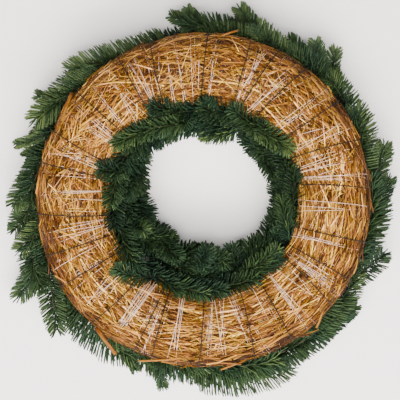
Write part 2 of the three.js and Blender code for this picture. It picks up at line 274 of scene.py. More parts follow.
def add_piece(name, skin, material, nodes=()):
    """Puts a skin into a mesh object that rides on the root body and stands for nodes.
    Points that no face uses are left out."""
    faces = skin["faces"]
    loops = np.concatenate([group.ravel() for group in faces])
    sizes = np.concatenate([np.full(len(group), group.shape[1]) for group in faces])
    used = np.unique(loops)
    number = np.zeros(len(skin["points"]), int)
    number[used] = np.arange(len(used))
    mesh = bpy.data.meshes.new(name)
    mesh.vertices.add(len(used))
    mesh.vertices.foreach_set("co", skin["points"][used].astype(np.float32).ravel())
    mesh.loops.add(len(loops))
    mesh.loops.foreach_set("vertex_index", number[loops].astype(np.int32))
    mesh.polygons.add(len(sizes))
    starts = np.concatenate([[0], np.cumsum(sizes)[:-1]])
    mesh.polygons.foreach_set("loop_start", starts.astype(np.int32))
    for label, value in zip(ATTRIBUTES, skin["values"]):
        layer = mesh.attributes.new(label, "FLOAT", "POINT")
        layer.data.foreach_set("value", value[used].astype(np.float32))
    mesh.update(calc_edges=True)
    mesh.validate()
    mesh.polygons.foreach_set("use_smooth", np.ones(len(sizes), bool))
    mesh.materials.append(material)
    piece = bpy.data.objects.new(name, mesh)
    bpy.context.scene.collection.objects.link(piece)
    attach(piece, "root")
    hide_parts(*nodes)
    print(name, "triangles:", int((sizes - 2).sum()))


# %% [markdown]
# ## Shader helpers
# All finishes here are made of the same few steps: read an attribute, draw noise in
# metres, blend colours and feed a bump. Short helpers keep each material readable.
# Real straw, twigs and thread all show fine lines along their length, so that effect is
# a node group, built once: noise that is stretched along the piece.

# %% Shader helpers


def grey(level):
    """A colour with the same level of red, green and blue."""
    return (level, level, level)


WHITE = grey(1)
BLACK = grey(0)


def connect(tree, made, inputs):
    """Fills inputs of a node: each is a number, a colour, or another node's output."""
    for key, value in inputs.items():
        if isinstance(value, bpy.types.NodeSocket):
            tree.links.new(value, made.inputs[key])
        elif isinstance(value, tuple):
            made.inputs[key].default_value = (*value, 1)
        else:
            made.inputs[key].default_value = value


def node(tree, kind, inputs, **settings):
    """A new node of a kind, with its settings and inputs."""
    made = tree.nodes.new(kind)
    for key, value in settings.items():
        setattr(made, key, value)
    connect(tree, made, inputs)
    return made


def attribute(tree, name):
    """One of the four numbers that go with each point."""
    return node(tree, "ShaderNodeAttribute", {}, attribute_name=name).outputs["Fac"]


def calculate(tree, operation, first, second):
    """Two values joined by an operation, such as ADD."""
    return node(tree, "ShaderNodeMath", {0: first, 1: second}, operation=operation).outputs[0]


def noise(tree, vector, scale, detail):
    """Noise at a place that is given by a vector."""
    inputs = {"Vector": vector, "Scale": scale, "Detail": detail}
    return node(tree, "ShaderNodeTexNoise", inputs).outputs["Fac"]


def object_noise(tree, scale, detail):
    """Noise on the object's own coordinates, which are metres."""
    return noise(tree, node(tree, "ShaderNodeTexCoord", {}).outputs["Object"], scale, detail)


def ramp(tree, value, *stops):
    """A colour ramp through stops of (position, colour)."""
    made = node(tree, "ShaderNodeValToRGB", {"Fac": value})
    elements = made.color_ramp.elements
    while len(elements) < len(stops):
        elements.new(0.5)
    for element, (position, colour) in zip(elements, stops):
        element.position = position
        element.color = (*colour, 1)
    return made.outputs["Color"]


def blend(tree, kind, share, first, second):
    """Two colours blended by a kind, such as MULTIPLY, and a share."""
    inputs = {0: share, 6: first, 7: second}
    return node(tree, "ShaderNodeMix", inputs, data_type="RGBA", blend_type=kind).outputs[2]


def shaded(tree, share, colour, value, *stops):
    """A colour times a ramp of a value, by a share."""
    return blend(tree, "MULTIPLY", share, colour, ramp(tree, value, *stops))


def bump(tree, height, distance, strength):
    """A normal that leans with the slope of a height."""
    inputs = {"Height": height, "Distance": distance, "Strength": strength}
    return node(tree, "ShaderNodeBump", inputs).outputs["Normal"]


def add_material(name, roughness, specular, paint):
    """A material. Its paint is a function of the node tree, and returns what goes into
    the shader besides the two uniform values."""
    material = bpy.data.materials.new(name)
    material.use_nodes = True
    tree = material.node_tree
    uniform = {"Roughness": roughness, "Specular IOR Level": specular}
    connect(tree, tree.nodes["Principled BSDF"], uniform | paint(tree))
    print(name, "finish, nodes:", len(tree.nodes))
    return material


# %% The lengthwise grain group
NOISE_PER_TONE = 50.0


def lengthwise_grain():
    """Noise on the piece's own length and girth, so that it draws lines along it. The
    tone moves the noise on, so that no two straws show the same lines."""
    group = bpy.data.node_groups.new("lengthwise_grain", "ShaderNodeTree")
    for name, value in (("Lines round", 6.0), ("Breaks per metre", 60.0)):
        socket = group.interface.new_socket(name, in_out="INPUT", socket_type="NodeSocketFloat")
        socket.default_value = value
    group.interface.new_socket("Mask", in_out="OUTPUT", socket_type="NodeSocketFloat")
    start = node(group, "NodeGroupInput", {}).outputs
    factors = {
        "around": start["Lines round"],
        "length": start["Breaks per metre"],
        "tone": NOISE_PER_TONE,
    }
    place = [calculate(group, "MULTIPLY", attribute(group, key), factors[key]) for key in factors]
    vector = node(group, "ShaderNodeCombineXYZ", dict(zip("XYZ", place))).outputs[0]
    node(group, "NodeGroupOutput", {"Mask": noise(group, vector, 1.0, 3.0)})
    return group


GRAIN = lengthwise_grain()
print("nodes in the grain group:", len(GRAIN.nodes))


def grain(tree, lines, breaks):
    """The grain group, with its lines round and breaks along."""
    inputs = {"Lines round": lines, "Breaks per metre": breaks}
    return node(tree, "ShaderNodeGroup", inputs, node_tree=GRAIN).outputs["Mask"]


# %% [markdown]
# ## Straw
# Dry straw is golden brown and a little glossy. Each stalk has its own tone, from brown
# through gold to nearly white, and fine lines run along it. The tone also carries painted
# shade, and each stalk's edges are darkened as painted shade. An image could give this,
# but a tone attribute with a colour ramp stays sharp at any distance.

# %% Straw finish
STRAW_STOPS = (
    (0.0, (0.02, 0.006, 0.001)),
    (0.25, (0.1, 0.032, 0.003)),
    (0.5, (0.285, 0.108, 0.009)),
    (0.75, (0.53, 0.252, 0.032)),
    (1.0, (1.0, 0.61, 0.19)),
)


def straw_paint(tree):
    """The tone's colour, times fine lines, painted shade along the edges, and weathering."""
    lines = grain(tree, 7.0, 90.0)
    colour = ramp(tree, attribute(tree, "tone"), *STRAW_STOPS)
    colour = shaded(tree, 0.85, colour, lines, (0.34, (0.5, 0.4, 0.3)), (0.58, WHITE))
    # Painted shade: each stalk is darker along its two edges, between it and the next.
    off_edge = calculate(tree, "PINGPONG", attribute(tree, "around"), 0.25)
    colour = shaded(tree, 1.0, colour, off_edge, (0.02, (0.4, 0.3, 0.22)), (0.13, WHITE))
    weathered = object_noise(tree, 110.0, 2.0)
    tints = (0.38, (1.0, 1.08, 0.6)), (0.62, (0.98, 0.92, 1.3))
    colour = shaded(tree, 1.0, colour, weathered, *tints)
    return {"Base Color": colour, "Normal": bump(tree, lines, 0.0004, 0.6)}


STRAW = add_material("straw", 0.5, 0.15, straw_paint)

# %% [markdown]
# ## The body of the straw ring
# Under the outer stalks the ring is imported solid. Only dark gaps of it show, so it is a
# plain closed surface: the ring itself, a little inside the stalks, with its waists and
# some lumps. Its dark tone is painted shade in those gaps. A grid of two angles gives it,
# joined to itself both ways.

# %% Straw body
BODY_DEPTH = 2.4 * MM
BODY_COLUMNS = 288
BODY_ROWS = 40
LUMP_HEIGHT = 0.5 * MM
# Painted shade: the body is dark, for the shade in the gaps between the stalks.
BODY_TONE = 0.1
GRAIN_DEGREES = 9
LUMP_STEPS = ((0.9, 1.3), (0.37, -0.8))


def straw_body():
    """The ring's surface less a depth, less the waists, with lumps from two sines."""
    column, row = np.indices((BODY_COLUMNS, BODY_ROWS))
    angle = column / BODY_COLUMNS * 360
    section = row / BODY_ROWS * 360
    first, second = (np.sin(along * column + over * row) for along, over in LUMP_STEPS)
    lumps = first * second
    height = LUMP_HEIGHT * lumps - BODY_DEPTH - waist(angle, section)
    points = ring_point(angle, section, height).reshape(-1, 3)
    index = np.arange(BODY_COLUMNS * BODY_ROWS).reshape(BODY_COLUMNS, BODY_ROWS)
    right = np.roll(index, -1, axis=0)
    corners = [index, right, np.roll(right, -1, axis=1), np.roll(index, -1, axis=1)]
    faces = [np.stack(corners, axis=-1).reshape(-1, 4)]
    tone = np.full(len(points), BODY_TONE)
    length = np.radians(angle).ravel() * RING_RADIUS
    values = np.stack([tone, tone, length, section.ravel() / GRAIN_DEGREES])
    return {"points": points, "faces": faces, "values": values}


add_piece("straw_body", straw_body(), STRAW)

# %% [markdown]
# ## The stalks on the outside
# At both rims the stalks run round the ring, and on the back they are chopped short and
# lie every way. Each one is a flattened tube that follows the surface, with ends that
# stand off a little. A particle system could scatter them, but it would put them all in
# one direction rule, and it isn't kept by the export.

# %% Laying straws on the ring
MEAN_HALF_SIZE = 0.034
WAIST_SHARE = 0.85
FLATNESS = 0.5
LEAST_TONE = 0.02
ENDS_SWAY = 0.6


def scatter(rng, count, back_share):
    """Places over the ring's surface: any angle round it, and any section angle, of which
    a share is moved from the front to the back."""
    angle = rng.uniform(0, 360, count)
    section = rng.uniform(0, 360, count)
    moved = rng.uniform(0, 1, count) < back_share * (section > 180)
    return angle, np.where(moved, 360 - section, section)


def lifts(rng, count, heights, spring, most):
    """Each stalk's height off the surface, and how much higher its ends spring, which is
    often little and has a limit."""
    height = rng.uniform(*heights, count)
    return np.stack([height, np.minimum(rng.exponential(spring, count), most)], axis=1)


def laid_straws(rng, angle, section, way, length, lift, supple, stations):
    """Paths on the surface. The supple turn round the ring by a step's cosine part, and
    round the section by its sine part, and follow the waists. The stiff are straight lines
    laid onto the surface, and dip by their middle. The ends rise with the square of the
    way out, and one of them more than the other."""
    out = np.linspace(-0.5, 0.5, stations)[None]
    step = out * length[:, None]
    if supple:
        reach = RING_RADIUS + HALF_WIDTH * cosine(section)
        at = angle[:, None] + np.degrees(step * np.cos(way)[:, None] / reach[:, None])
        up = section[:, None] + np.degrees(step * np.sin(way)[:, None] / MEAN_HALF_SIZE)
    else:
        middle = ring_point(angle, section, 0)
        round_way = unit(ring_point(angle + 0.1, section, 0) - middle)
        over_way = unit(ring_point(angle, section + 0.1, 0) - middle)
        run = np.cos(way)[:, None] * round_way + np.sin(way)[:, None] * over_way
        at, up = on_ring(middle[:, None] + step[..., None] * run[:, None])
    sway = rng.normal(0, ENDS_SWAY, (len(angle), 1)) * 2 * out
    height = lift[:, :1] + lift[:, 1:] * ((2 * out) ** 2 + sway)
    dip = waist(at, up) if supple else waist(angle, section)[:, None]
    return ring_point(at, up, height - WAIST_SHARE * dip)


def outward(paths):
    """The direction off the straw at each point of a path."""
    around = np.arctan2(paths[..., 1], paths[..., 0])
    middle = RING_RADIUS * np.stack([np.cos(around), np.sin(around), 0 * around], axis=-1)
    middle[..., 2] = RING_CENTRE_Z
    return paths - middle


def flat_stalks(paths, width, corners, tone):
    """Tubes that lie flat on the straw, with a share of their width as thickness."""
    tone = np.clip(tone, LEAST_TONE, 1)
    return strands(paths, outward(paths), width, width * FLATNESS, corners, tone)


# %% One kind of straw
HIGHEST_STRAW = 91.6 * MM
ENDS_SPRING = 0.5 * MM
MOST_SPRING = 1.6 * MM
UPPER_FROM = 25
PATCHES = 7
SPREAD_BY_PATCH = 0.25
RIM_CURVE = 1.3
BACK_LENGTH = 0.85
RIM_LENGTH = 1.3
TONE_SPREAD = 0.07
# Painted shade in each stalk's tone: lower stalks, the rims and the top of the ring are darker.
TONE_PER_HEIGHT = 0.3
MIDDLE_RAISED = 0.6
DARK_RIM_ANGLE = 282
DARK_RIM = 0.26
DARK_RIM_SWING = 0.19
DARK_INNER_RIM = 0.08
PAINTED_TOP_SHADE_ANGLE = 80
PAINTED_TOP_SHADE = 0.06


def straws(seed, count, lengths, widths, heights, spread, tones, corners, back_share, supple):
    """Stalks strewn on the ring. The spread of their ways goes from the back's to the
    rims' value with the cosine of the section angle. Both are wider in the upper half,
    and the back's differs from patch to patch. Their tone carries painted shade: lower
    stalks are darker, the rims are darker, most of all on one side, and the top of the
    ring is a little darker."""
    rng = np.random.default_rng(seed)
    angle, section = scatter(rng, count, back_share)
    rim = np.abs(cosine(section)) ** RIM_CURVE
    upper = sine(angle - UPPER_FROM)
    back_spread = spread[0] * (0.82 + 0.34 * upper + SPREAD_BY_PATCH * sine(PATCHES * angle))
    rim_spread = spread[1] * (1.3 + 0.9 * upper)
    way = rng.normal(0, 1, count) * np.radians(mix(back_spread, rim_spread, rim))
    length = rng.uniform(*lengths, count) * mix(BACK_LENGTH, RIM_LENGTH, rim)
    length *= 1.15 - 0.3 * upper
    lift = lifts(rng, count, heights, ENDS_SPRING, MOST_SPRING)
    paths = laid_straws(rng, angle, section, way, length, lift, supple, 7 if supple else 4)
    paths[..., 2] = np.minimum(paths[..., 2], HIGHEST_STRAW)
    width = rng.uniform(*widths, count)
    raised = (lift[:, 0] - heights[0]) / (heights[1] - heights[0])
    tone = rng.choice(tones, count) + rng.normal(0, TONE_SPREAD, count)
    # Painted shade: stalks that lie lower are darker.
    tone += TONE_PER_HEIGHT * (raised - MIDDLE_RAISED)
    # Painted shade: the top of the ring is a little darker.
    tone -= PAINTED_TOP_SHADE * np.clip(cosine(angle - PAINTED_TOP_SHADE_ANGLE), 0, 1) ** 3
    # Painted shade: the rims are darker, the outer rim most of all on one side.
    outer_shade = DARK_RIM + DARK_RIM_SWING * cosine(angle - DARK_RIM_ANGLE)
    tone -= mix(DARK_INNER_RIM, outer_shade, cosine(section) > 0) * rim**2
    return flat_stalks(paths, width, corners, tone)


# %% Coarse stalks round the rim
RIM_STALKS = 200
RIM_STALK_ANGLES = (155, 400)
RIM_STALK_SECTIONS = (-25, 55)
RIM_STALK_LENGTHS = (0.04, 0.1)
RIM_STALK_WIDTHS = (1.0 * MM, 1.7 * MM)
RIM_STALK_HEIGHTS = (-2.4 * MM, -0.7 * MM)
RIM_STALK_TONES = (0.15, 0.32, 0.48, 0.62, 0.78)
RIM_STALK_WAY = 4
RIM_STALK_SPRING = 1.7 * MM
MOST_RIM_SPRING = 5 * MM


def rim_stalk_skin():
    """Coarse stalks round the outer rim, nearly along it, except at the top. Their ends
    stand off, so that the outline isn't a clean circle."""
    rng = np.random.default_rng(13)
    angle = rng.uniform(*RIM_STALK_ANGLES, RIM_STALKS)
    section = rng.uniform(*RIM_STALK_SECTIONS, RIM_STALKS)
    way = rng.normal(0, np.radians(RIM_STALK_WAY), RIM_STALKS)
    length = rng.uniform(*RIM_STALK_LENGTHS, RIM_STALKS)
    lift = lifts(rng, RIM_STALKS, RIM_STALK_HEIGHTS, RIM_STALK_SPRING, MOST_RIM_SPRING)
    paths = laid_straws(rng, angle, section, way, length, lift, True, 9)
    width = rng.uniform(*RIM_STALK_WIDTHS, RIM_STALKS)
    tone = rng.choice(RIM_STALK_TONES, RIM_STALKS) + rng.normal(0, 0.05, RIM_STALKS)
    # Painted shade: the rim stalks are darker on one side, as the other stalks' rims are.
    tone -= 0.06 + 0.14 * cosine(angle - DARK_RIM_ANGLE)
    return flat_stalks(paths, width, 6, tone)


# %% All the straws of the ring
long_stalks = straws(
    seed=10, count=2100, lengths=(0.03, 0.08), widths=(0.5 * MM, 1.2 * MM),
    heights=(-2.4 * MM, -0.2 * MM), spread=(16, 5), tones=(0.2, 0.35, 0.5, 0.65, 0.85),
    corners=5, back_share=0.3, supple=True,
)
add_piece("straw_stalks", long_stalks, STRAW, ["straw_ring"])
chopped_stalks = straws(
    seed=11, count=2100, lengths=(0.009, 0.03), widths=(0.3 * MM, 0.9 * MM),
    heights=(-1.3 * MM, 0.2 * MM), spread=(58, 10), tones=(0.3, 0.45, 0.55, 0.7, 0.9),
    corners=5, back_share=0.6, supple=False,
)
add_piece("straw_chaff", chopped_stalks, STRAW)
add_piece("straw_rim_stalks", rim_stalk_skin(), STRAW)
fibres = straws(
    seed=12, count=7500, lengths=(0.009, 0.038), widths=(0.2 * MM, 0.42 * MM),
    heights=(-1.2 * MM, 0.5 * MM), spread=(50, 13), tones=(0.2, 0.4, 0.6, 0.9),
    corners=3, back_share=0.5, supple=False,
)
add_piece("straw_fibres", fibres, STRAW)

# %% [markdown]
# ## Loose stalks
# A few stalks have sprung out of the ring, mostly at its outer rim. Each is given by
# where it leaves the straw and where its tip is, as in the solids, and stands a little
# proud. Its path is a straight line with a slight bow.

# %% Loose stalks
LOOSE_STALKS = np.array([
    ((-147, 84), (-138, 112)), ((-171, 28), (-175, 6)), ((-113, -134), (-92, -162)),
    ((-24, -166), (-68, -169)), ((124, -120), (118, -134)), ((44, -168), (18, -178)),
    ((16, 170), (36, 177)), ((-127, 76), (-113, 86)),
]) * MM
STALK_RADIUS = 1.6 * MM
STALK_HALF_WIDTHS = np.array([1.9, 1.3, 2.2, 1.1, 1.2, 1.2, 1.2, 1.4]) * MM
STALK_TONES = np.array([0.36, 0.56, 0.34, 0.48, 0.44, 0.4, 0.36, 0.7])
STALK_HALF_THICKNESS = 0.9 * MM
STALK_RIM = 0.98
STALK_BOW = 3.4 * MM


def loose_stalks():
    """A line from root to tip: its height follows the oval section at each end, and its
    bow is a parabola across it. The stalks lie flat."""
    reach = np.linalg.norm(LOOSE_STALKS, axis=2)
    across = np.minimum(np.abs(reach - RING_RADIUS) / HALF_WIDTH, STALK_RIM)
    z = RING_CENTRE_Z + HALF_HEIGHT * np.sqrt(1 - across**2) + np.array([-1, 1]) * STALK_RADIUS
    ends = np.concatenate([LOOSE_STALKS, z[..., None]], axis=2)
    place = steps(6)
    paths = mix(ends[:, :1], ends[:, 1:], place)
    paths[..., 2] += (STALK_BOW * 4 * place * (1 - place))[..., 0]
    paths[..., 2] = np.minimum(paths[..., 2], HIGHEST_STRAW - 0.4 * MM)
    return strands(paths, upright(paths), STALK_HALF_WIDTHS, STALK_HALF_THICKNESS, 8, STALK_TONES)


add_piece("loose_stalks", loose_stalks(), STRAW)

# %% [markdown]
# ## Thread
# The straw is held together by one pale thread that a machine has wound round it about
# 200 times, in clusters. It is one long path: the section angle grows steadily, and the
# angle round the ring moves on to the next turn. A curve object could hold it, but the
# sweep is already here.

# %% Thread finish


def thread_paint(tree):
    """Two tones of thread, which follow the lengthwise grain."""
    lines = grain(tree, 5.0, 500.0)
    colour = ramp(tree, lines, (0.3, (0.5, 0.33, 0.24)), (0.7, (0.9, 0.68, 0.56)))
    return {"Base Color": colour, "Normal": bump(tree, lines, 0.0002, 0.5)}


THREAD = add_material("thread", 0.5, 0.2, thread_paint)

# %% Thread
CLUSTERS = 52
PASSES_PER_CLUSTER = 4
THREAD_STEPS = 30
THREAD_KNOTS = 7
KNOT_HEIGHT = 0.7 * MM
CLUSTER_SLANT = 3.6
OUTER_FANS = (1.4, 5)
INNER_FANS = (1.2, 6)
FAN_SPREAD = 0.8
THREAD_UPPER_FROM = 15
THREAD_HALF_WIDTH = 0.2 * MM
THREAD_HALF_THICKNESS = 0.15 * MM
DEEPEST_THREAD = 0.9 * MM
MIDDLE_TONE = np.array([0.5])


def thread():
    """A winding: each pass has an angle at the outer and the inner rim, drawn round the
    middles of its cluster, and the front half of the pass leads on to the next one. It
    lies deep at the outer rim, and rises and dives between the straws elsewhere, from one
    random height to the next."""
    rng = np.random.default_rng(5)
    cluster = np.repeat(np.arange(CLUSTERS), PASSES_PER_CLUSTER)
    middle = np.arange(CLUSTERS) + rng.uniform(-0.3, 0.3, CLUSTERS)
    place = (middle * TURN_COUNT / CLUSTERS)[cluster]
    slant = rng.normal(0, CLUSTER_SLANT, CLUSTERS)[cluster]
    outer_fan = rng.uniform(*OUTER_FANS, CLUSTERS)[cluster]
    inner_fan = rng.uniform(*INNER_FANS, CLUSTERS)[cluster]
    outer = turn_angle(place, 0) + rng.normal(0, FAN_SPREAD, len(cluster)) * outer_fan
    inner = turn_angle(place, 180) + slant + rng.normal(0, FAN_SPREAD, len(cluster)) * inner_fan
    stops = np.stack([outer, inner], axis=1).ravel()
    turn = np.arange((len(cluster) - 1) * THREAD_STEPS) / THREAD_STEPS
    angle = np.interp(2 * turn, np.arange(len(stops)), stops)
    section = 360 * turn
    shown = np.clip(0.75 - cosine(section), 0, 1)
    knots = rng.normal(0, KNOT_HEIGHT, THREAD_KNOTS * len(cluster))
    wave = np.interp(THREAD_KNOTS * turn, np.arange(len(knots)), knots)
    upper = sine(angle - THREAD_UPPER_FROM)
    deeper = mix(0.3 * MM, 0.5 * MM, upper > 0) * upper
    height = mix(-DEEPEST_THREAD, DEEPEST_THREAD, shown) + wave - deeper
    path = ring_point(angle, section, height - waist(angle, section))[None]
    ups = outward(path)
    return strands(path, ups, [THREAD_HALF_WIDTH], THREAD_HALF_THICKNESS, 4, MIDDLE_TONE)


add_piece("thread", thread(), THREAD, ["straw_thread"])

# %% [markdown]
# ## Binding wire
# Florist's wire is thin, dark and a little rusty. It follows the solids' path: over the
# back at each turn, and on the front on to the next one, over the stems that it binds.
# It is one long round path too, with more steps than the solid has.

# %% Wire finish


def wire_paint(tree):
    """Dark metal with rusty patches, which follow the same grain."""
    patches = grain(tree, 3.0, 120.0)
    colour = ramp(tree, patches, (0.35, (0.01, 0.009, 0.008)), (0.7, (0.03, 0.019, 0.012)))
    return {"Base Color": colour, "Normal": bump(tree, patches, 0.0002, 0.4)}


WIRE = add_material("wire", 0.6, 0.12, wire_paint)

# %% Wire
WIRE_RADIUS = 0.55 * MM
WIRE_HEIGHT = 2.2 * MM
BUTT_RADIUS = 1.8 * MM
BUTT_HEIGHT = 3.4 * MM
BUTT_GAP = 0.4 * MM
WIRE_DRIFT_ROWS = (9, 11)
RAISED_ROWS = (6.5, 14.3)
STEPS_PER_ROW = 3
WIRE_ROWS = np.arange(-2, TURN_COUNT * ROWS - 3, 1 / STEPS_PER_ROW)
WIRE_WAIST_SHARE = 0.4


def drift(row):
    """How far the wire has moved on towards its next turn, from 0 to 1."""
    first, last = WIRE_DRIFT_ROWS
    return np.clip((row - first) / (last - first), 0, 1)


def wire():
    """The wire's path in rows of the section. It lies on the straw over the back, and
    on the front it rises over the stems within one row."""
    passes = np.floor(WIRE_ROWS / ROWS)
    row = WIRE_ROWS - ROWS * passes
    section = row * SECTION_STEP
    angle = turn_angle(passes + drift(row), section)
    raised = np.clip(np.minimum(row - RAISED_ROWS[0], RAISED_ROWS[1] - row), 0, 1)
    height = mix(WIRE_HEIGHT, BUTT_HEIGHT + BUTT_RADIUS + BUTT_GAP + WIRE_RADIUS, raised)
    height -= WIRE_WAIST_SHARE * waist(angle, section)
    path = ring_point(angle, section, height)[None]
    return strands(path, outward(path), [WIRE_RADIUS], WIRE_RADIUS, 6, MIDDLE_TONE)


add_piece("binding_wire_round", wire(), WIRE, ["binding_wire"])

# %% [markdown]
# ## Stems of the sprays
# The stems follow the same formulas as in the solids: a butt under the wire, then an arc
# along the ring that rises off the straw towards its tip. Short side shoots leave them
# at an angle. All twigs are kept as arrays of points, so that the needles can be grown
# on all of them at once.

# %% Main stems
OUTER_TIPS = np.array([
    (7, 203), (20, 203), (31.5, 198), (47.4, 212), (60, 206), (80, 211), (95.7, 207.5),
    (110, 193), (122, 193), (138.5, 205.5), (150, 212), (164.7, 209.5), (181, 206),
    (193, 208), (208, 220.5), (223.4, 213), (240, 197.5), (257.8, 206), (270, 198),
    (281.4, 209.5), (294, 209.5), (309, 198.5), (322, 195.5), (344.3, 200),
])
HOLE_EDGE = np.array([70, 68, 67, 66, 59, 68, 62, 74, 62, 57, 49, 46, 44, 45, 46, 52, 60, 64])
TURNS_BEFORE_TIP = 3
OUTER_OVERHANG = 24 * MM
HOLE_OVERHANG = 12 * MM
BOUND_LENGTH = 5
BUTT_BEFORE_WIRE = 3
OUTER_ROWS = (12, 11)
OUTER_SECTIONS = (-18, -38)
FRONT_ROW = 10
FRONT_SWEEP = 36
FRONT_HEIGHTS = np.array([17, 31.5, 21]) * MM
STATIONS = 15
SECTION_EASE = 1.6
RISE_EASE = 2.6
LOWEST_TWIG = 1.2 * MM


def butt_angle(turn, row):
    """A stem starts just before the wire that binds it."""
    return turn_angle(turn + drift(row), row * SECTION_STEP) - BUTT_BEFORE_WIRE


def hole_edge(angle):
    """Reach of the foliage round the hole, between the measured places."""
    around = np.append(HOLE_EDGE, HOLE_EDGE[0]) * MM
    return np.interp(np.asarray(angle) % 360, np.linspace(0, 360, len(around)), around)


def height_over(reach, section):
    """The height off the straw that puts a section angle at a reach from the axis."""
    return np.abs((reach - RING_RADIUS) / cosine(section)) - HALF_WIDTH


def off_floor(paths):
    """The same paths, kept just above the surface that the wreath lies on."""
    paths[..., 2] = np.maximum(paths[..., 2], LOWEST_TWIG)
    return paths


def stems(butt, tip, row, tip_section, height):
    """Arcs from butt to tip. The angle goes evenly, the section and the height ease off
    with the part of the way that is left, and the first degrees lie flat on the straw."""
    along = np.linspace(0, 1, STATIONS)[None]
    butt, tip, row, tip_section, height = (
        np.asarray(value, float)[:, None]
        for value in np.broadcast_arrays(butt, tip, row, tip_section, height)
    )
    bound = BOUND_LENGTH / (tip - butt)
    left = 1 - np.clip((along - bound) / (1 - bound), 0, 1)
    angle = mix(butt, tip, along)
    section = mix(tip_section, row * SECTION_STEP - 360, left**SECTION_EASE)
    rise = mix(height, BUTT_HEIGHT, left**RISE_EASE)
    return off_floor(ring_point(angle, section, rise))


def outer_stems():
    """Stems towards the outer tips, in two rows by turns. A butt is three turns back, and
    the height is what puts the stem's end an overhang short of its tip."""
    count = np.arange(len(OUTER_TIPS))
    row = np.where(count % 2 == 0, *OUTER_ROWS)
    section = np.where(count % 2 == 0, *OUTER_SECTIONS)
    butt = butt_angle(count - TURNS_BEFORE_TIP, row)
    height = height_over(OUTER_TIPS[:, 1] * MM - OUTER_OVERHANG, section)
    return stems(butt, OUTER_TIPS[:, 0], row, section, height)


def front_stems():
    """Stems at every second turn, which sweep on round the front by equal degrees and
    stand off it by three heights in turn."""
    turn = np.arange(0, TURN_COUNT, 2)
    butt = butt_angle(turn, FRONT_ROW)
    height = np.resize(FRONT_HEIGHTS, len(turn))
    return stems(butt, butt + FRONT_SWEEP, FRONT_ROW, -90, height)


def inner_stems(first, every, sweep_degrees, row, section):
    """Stems at every few turns, counted from the first. The height is what puts a stem's
    end an overhang short of the hole's edge."""
    turn = np.arange(first, TURN_COUNT, every)
    tip = butt_angle(turn, row) + sweep_degrees
    height = height_over(hole_edge(tip) + HOLE_OVERHANG, section)
    return stems(tip - sweep_degrees, tip, row, section, height)


OUTER = outer_stems()
FRONT = front_stems()
INNER_UPPER = inner_stems(first=1, every=2, sweep_degrees=33, row=8, section=-172)
INNER_LOWER = inner_stems(first=0, every=3, sweep_degrees=42, row=9, section=-148)
print("main stems:", [len(group) for group in (OUTER, FRONT, INNER_UPPER, INNER_LOWER)])

# %% [markdown]
# ## Side shoots
# A fir twig branches in pairs, at about 45 degrees, in one flat plane. Here each shoot
# starts at a place on its stem, leaves it sideways in the plane of the foliage, and
# bends back towards the stem's own direction.

# %% Side shoots
SHOOT_LEAN = 48
LEAN_SPREAD = 7
RISE_SPREAD = 0.12
PLACE_SPREAD = 0.03
SHOOT_BEND = 0.22
LENGTH_AT_ROOT = 1.15
LENGTH_AT_TIP = 0.7


def at_place(values, twig, place):
    """Values at a place from 0 to 1 along chosen twigs, on the line between stations."""
    station = place * (values.shape[1] - 1)
    left = np.minimum(station.astype(int), values.shape[1] - 2)
    return mix(values[twig, left], values[twig, left + 1], (station - left)[:, None])


def frames(twigs, twig, place):
    """At places on chosen twigs: the point, the way that the twig runs, and the level
    direction square to it, which is off the ring for a twig that runs round it."""
    run = unit(at_place(np.gradient(twigs, axis=1), twig, place))
    return at_place(twigs, twig, place), run, unit(np.cross(run, [0.0, 0.0, 1.0]))


def side_shoots(twigs, seed, places, lengths, sides, rise):
    """Shoots at given places on each twig. A point is the root plus the way out along a
    line between the stem's run and its side, bent back by the square of the way."""
    rng = np.random.default_rng(seed)
    twig, number = np.indices((len(twigs), len(places))).reshape(2, -1)
    place = np.asarray(places)[number] + rng.normal(0, PLACE_SPREAD, len(twig))
    place = np.clip(place, 0.05, 0.95)
    root, run, side = frames(twigs, twig, place)
    side = side * np.asarray(sides)[number][:, None]
    lean = np.radians(rng.normal(SHOOT_LEAN, LEAN_SPREAD, len(twig)))[:, None]
    way = run * np.cos(lean) + side * np.sin(lean)
    way[:, 2] += rng.normal(rise, RISE_SPREAD, len(twig))
    length = rng.uniform(*lengths, len(twig)) * mix(LENGTH_AT_ROOT, LENGTH_AT_TIP, place)
    out = steps(7)
    bent = out * way[:, None] + SHOOT_BEND * out**2 * run[:, None]
    return off_floor(root[:, None] + length[:, None, None] * bent)


FRONT_PLACES = (0.14, 0.24, 0.34, 0.44, 0.54, 0.64, 0.76)
FRONT_SIDES = (1, -1, 1, -1, 1, -1, 1)
FRONT_SHOOTS = side_shoots(FRONT, 21, FRONT_PLACES, (0.034, 0.056), FRONT_SIDES, 0.0)
INNER = np.concatenate([INNER_UPPER, INNER_LOWER])
INNER_PLACES = (0.3, 0.42, 0.54, 0.66, 0.8)
INNER_SHOOTS = side_shoots(INNER, 22, INNER_PLACES, (0.016, 0.03), (1, 1, 1, 1, 1), 0.5)
print("side shoots:", len(FRONT_SHOOTS), "on the front,", len(INNER_SHOOTS), "in the hole")

# %% Shoots on the inner shoulder
SHOULDER_SHOOTS = 20
SHOULDER_SWEEP = 30
SHOULDER_JITTER = 6
SHOULDER_ROOT = 184
SHOULDER_TIPS = (148, 158)
SHOULDER_ROOT_HEIGHT = 7
SHOULDER_TIP_HEIGHTS = (5.5, 8)
BARE_SHOULDER = (338, 14)


